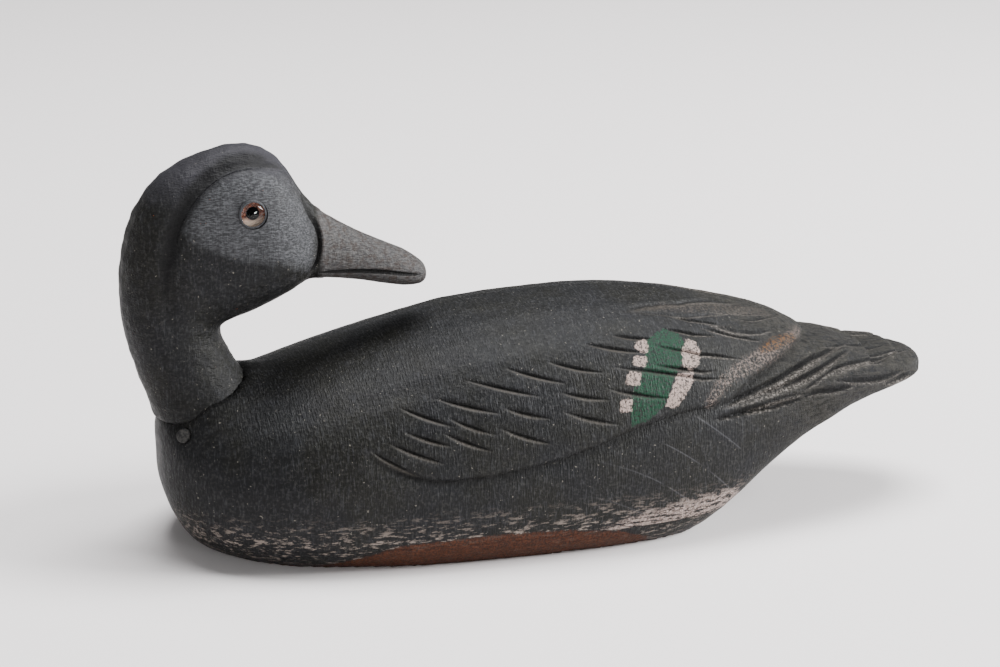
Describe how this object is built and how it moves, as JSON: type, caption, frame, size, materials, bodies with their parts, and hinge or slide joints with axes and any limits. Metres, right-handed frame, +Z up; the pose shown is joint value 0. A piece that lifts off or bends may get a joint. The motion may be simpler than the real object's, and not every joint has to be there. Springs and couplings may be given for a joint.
{
  "type": "floating duck decoy",
  "caption": "Hollow carved wooden duck decoy with its head turned back, glass eyes, a flat ballasted bottom board and a hinged anchor-line ring.",
  "frame": {"origin": "centre of the flat bottom of the hull, on the surface the decoy rests on", "axes": "+X towards the tail, +Y towards the duck's right side, +Z up; the breast faces -X"},
  "size_m": [0.329, 0.1232, 0.158],
  "materials": {
    "painted_body": "worn matt oil paint over carved wood",
    "painted_head": "worn matt oil paint over carved wood",
    "board_paint": "worn red-brown primer over wood",
    "bare_wood": "bare turned wood",
    "painted_nail": "painted over",
    "fastener_steel": "dull steel with rust",
    "tie_wire": "tarnished drawn wire",
    "lead": "dull cast lead",
    "eye_glass": "clear polished glass",
    "iris_enamel": "orange-brown enamel behind the glass",
    "pupil_enamel": "black enamel behind the glass",
    "putty": "painted putty",
    "eye_wire": "drawn wire"
  },
  "bodies": {
    "hull": {"body_shell": "painted_body", "bottom_board": "board_paint", "head_neck": "painted_head", "neck_dowel": "bare_wood", "dowel_nail_left": "painted_nail", "dowel_nail_right": "painted_nail", "ballast_weight": "lead", "ballast_screw_front": "fastener_steel", "ballast_screw_rear": "fastener_steel", "line_tie_staple": "tie_wire", "eye_glass_left": "eye_glass", "eye_iris_left": "iris_enamel", "eye_pupil_left": "pupil_enamel", "eye_putty_left": "putty", "eye_wire_left": "eye_wire", "board_nail_left_1": "fastener_steel", "board_nail_left_2": "fastener_steel", "board_nail_left_3": "fastener_steel", "board_nail_left_4": "fastener_steel", "eye_glass_right": "eye_glass", "eye_iris_right": "iris_enamel", "eye_pupil_right": "pupil_enamel", "eye_putty_right": "putty", "eye_wire_right": "eye_wire", "board_nail_right_1": "fastener_steel", "board_nail_right_2": "fastener_steel", "board_nail_right_3": "fastener_steel", "board_nail_right_4": "fastener_steel"},
    "tie_ring": {"line_tie_ring": "tie_wire"}
  },
  "joints": [
    {"name": "tie_ring_hinge", "type": "hinge", "parent": "hull", "child": "tie_ring", "pos_m": [-0.078, 0, 0.0051], "axis": [0, 1, 0], "range_deg": [-19, 105]}
  ]
}
